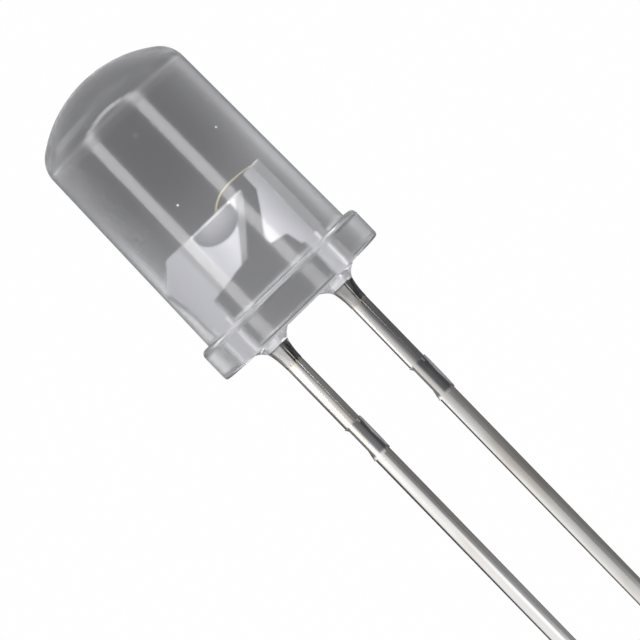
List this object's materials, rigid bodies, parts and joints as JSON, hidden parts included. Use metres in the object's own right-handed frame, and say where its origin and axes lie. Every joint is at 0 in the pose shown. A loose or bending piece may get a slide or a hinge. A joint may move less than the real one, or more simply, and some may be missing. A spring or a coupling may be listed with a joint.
{
  "type": "through-hole LED, 5 mm round, water-clear body with a low dome",
  "caption": "Clear round through-hole light-emitting diode with a low dome, a flange with a cathode flat, a visible lead frame with reflector cup, and square tinned leads for soldering into a board.",
  "frame": {"origin": "middle of the seating plane, which is the underside of the flange", "axes": "+Z along the optical axis towards the dome, the leads run to -Z; X along the pair of leads, the cathode lead and the flange's flat at -X, the anode lead at +X"},
  "size_m": [0.0055, 0.0056, 0.0354],
  "materials": {
    "clear_epoxy": "water-clear moulded epoxy, polished",
    "tinned_frame": "steel strip with tin plating, fine draw lines",
    "chip": "polished semiconductor chip",
    "silver_glue": "silver-filled glue, matt",
    "gold_wire": "bright drawn gold wire"
  },
  "bodies": {
    "root": {"epoxy_lens": "clear_epoxy", "cathode_lead": "tinned_frame", "anode_lead": "tinned_frame", "led_die": "chip", "die_attach": "silver_glue", "bond_wire": "gold_wire"}
  },
  "joints": []
}
